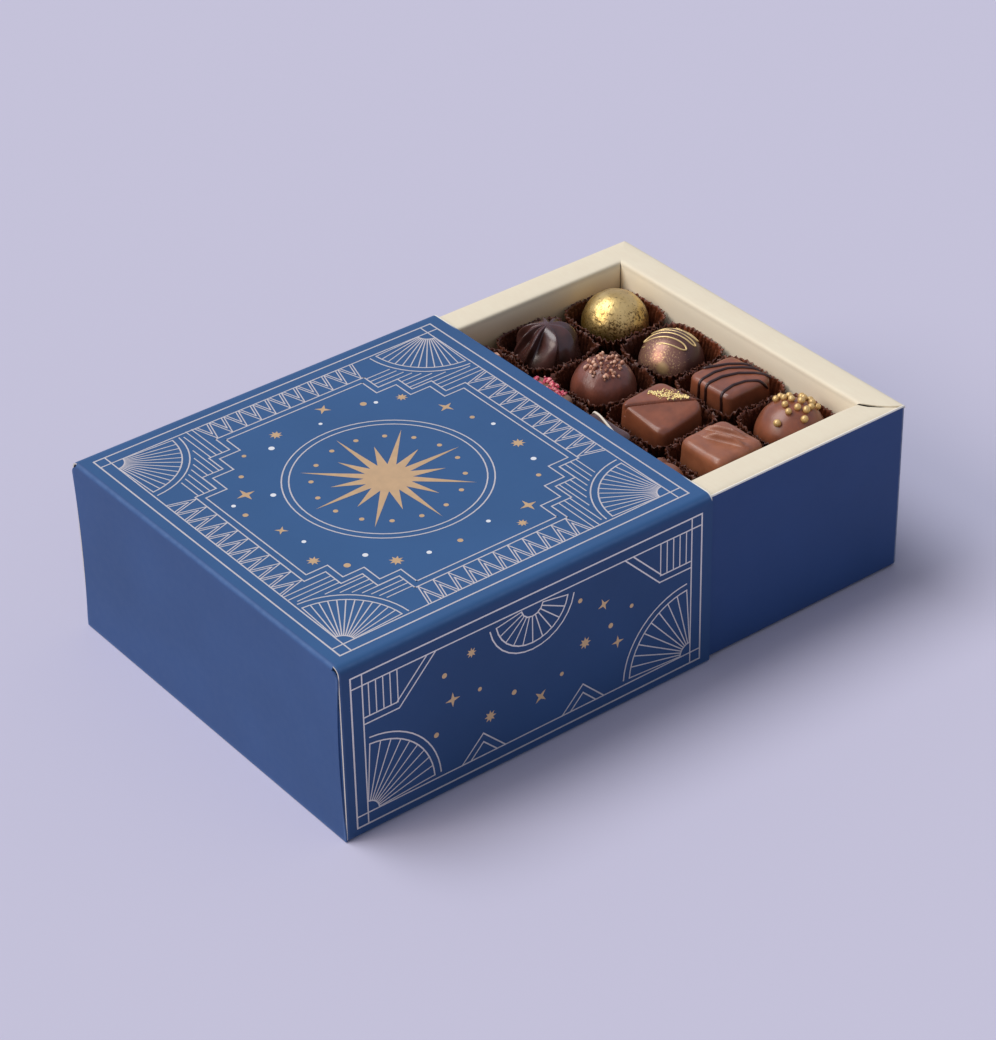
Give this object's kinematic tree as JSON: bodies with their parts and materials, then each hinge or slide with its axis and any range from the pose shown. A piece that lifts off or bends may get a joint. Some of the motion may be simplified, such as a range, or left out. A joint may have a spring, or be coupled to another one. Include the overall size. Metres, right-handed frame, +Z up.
{
  "type": "chocolate box",
  "caption": "Board box of chocolates: a hollow-wall tray with filled fluted paper cups slides out of a printed sleeve closed at one end.",
  "frame": {"origin": "centre of the sleeve's underside", "axes": "+X the way the tray slides out of the sleeve, +Y towards the far side, +Z up"},
  "size_m": [0.2444, 0.155, 0.069],
  "materials": {
    "blue_sleeve_board": "satin",
    "blue_tray_board": "satin",
    "cream_tray_board": "matte",
    "brown_platform_board": "matte",
    "brown_cup_paper": "satin",
    "dark_chocolate": "satin",
    "milk_chocolate": "satin",
    "white_chocolate": "satin",
    "gold_leaf": "satin",
    "gold_sugar": "satin",
    "gold_line": "satin",
    "dried_berry": "matte",
    "roasted_nut": "matte"
  },
  "bodies": {
    "sleeve": {"sleeve_dust_flap_far": "blue_sleeve_board", "sleeve_dust_flap_near": "blue_sleeve_board", "sleeve_end_flap": "blue_sleeve_board", "sleeve_end_tuck": "blue_sleeve_board", "sleeve_glue_lap": "blue_sleeve_board", "sleeve_wrap": "blue_sleeve_board"},
    "tray": {"berry_crumbs": "dried_berry", "berry_square": "milk_chocolate", "crumbed_ball_rear": "milk_chocolate", "cup_platform": "brown_platform_board", "gold_leaf_ball_rear": "gold_leaf", "lined_square": "dark_chocolate", "nut_ball": "milk_chocolate", "nut_crumbs_rear": "roasted_nut", "nut_pieces": "roasted_nut", "paper_cup_1_1": "brown_cup_paper", "paper_cup_1_2": "brown_cup_paper", "paper_cup_1_3": "brown_cup_paper", "paper_cup_1_4": "brown_cup_paper", "paper_cup_2_1": "brown_cup_paper", "paper_cup_2_2": "brown_cup_paper", "paper_cup_2_3": "brown_cup_paper", "paper_cup_2_4": "brown_cup_paper", "paper_cup_3_1": "brown_cup_paper", "paper_cup_3_2": "brown_cup_paper", "paper_cup_3_3": "brown_cup_paper", "paper_cup_3_4": "brown_cup_paper", "paper_cup_4_1": "brown_cup_paper", "paper_cup_4_2": "brown_cup_paper", "paper_cup_4_3": "brown_cup_paper", "paper_cup_4_4": "brown_cup_paper", "pleated_peak_rear": "dark_chocolate", "rosette": "milk_chocolate", "rosette_nut": "roasted_nut", "square_stripes_rear": "dark_chocolate", "striped_square_rear": "milk_chocolate", "tray_corner_tabs": "blue_tray_board", "tray_flap_far": "cream_tray_board", "tray_flap_front": "cream_tray_board", "tray_flap_near": "cream_tray_board", "tray_flap_rear": "cream_tray_board", "tray_shell": "blue_tray_board", "white_line": "white_chocolate"},
    "gold_leaf_chocolate": {"gold_leaf_ball": "gold_leaf"},
    "squiggle_chocolate": {"squiggle_dome": "dark_chocolate", "dome_squiggle": "gold_line"},
    "striped_chocolate": {"striped_square": "milk_chocolate", "square_stripes": "dark_chocolate"},
    "beaded_chocolate": {"beaded_ball": "milk_chocolate", "gold_beads": "gold_sugar"},
    "pleated_chocolate": {"pleated_peak": "dark_chocolate"},
    "crumbed_chocolate": {"crumbed_ball": "milk_chocolate", "nut_crumbs": "roasted_nut"},
    "flaked_chocolate": {"flaked_square": "milk_chocolate"},
    "ridged_chocolate": {"ridged_square": "milk_chocolate"}
  },
  "joints": [
    {"name": "tray_slide", "type": "slide", "parent": "sleeve", "child": "tray", "axis": [1, 0, 0], "range_m": [-0.09, 0.065]},
    {"name": "gold_leaf_lift", "type": "slide", "parent": "tray", "child": "gold_leaf_chocolate", "axis": [0, 0, 1], "range_m": [0, 0.04]},
    {"name": "squiggle_lift", "type": "slide", "parent": "tray", "child": "squiggle_chocolate", "axis": [0, 0, 1], "range_m": [0, 0.04]},
    {"name": "striped_lift", "type": "slide", "parent": "tray", "child": "striped_chocolate", "axis": [0, 0, 1], "range_m": [0, 0.04]},
    {"name": "beaded_lift", "type": "slide", "parent": "tray", "child": "beaded_chocolate", "axis": [0, 0, 1], "range_m": [0, 0.04]},
    {"name": "pleated_lift", "type": "slide", "parent": "tray", "child": "pleated_chocolate", "axis": [0, 0, 1], "range_m": [0, 0.04]},
    {"name": "crumbed_lift", "type": "slide", "parent": "tray", "child": "crumbed_chocolate", "axis": [0, 0, 1], "range_m": [0, 0.04]},
    {"name": "flaked_lift", "type": "slide", "parent": "tray", "child": "flaked_chocolate", "axis": [0, 0, 1], "range_m": [0, 0.04]},
    {"name": "ridged_lift", "type": "slide", "parent": "tray", "child": "ridged_chocolate", "axis": [0, 0, 1], "range_m": [0, 0.04]}
  ]
}
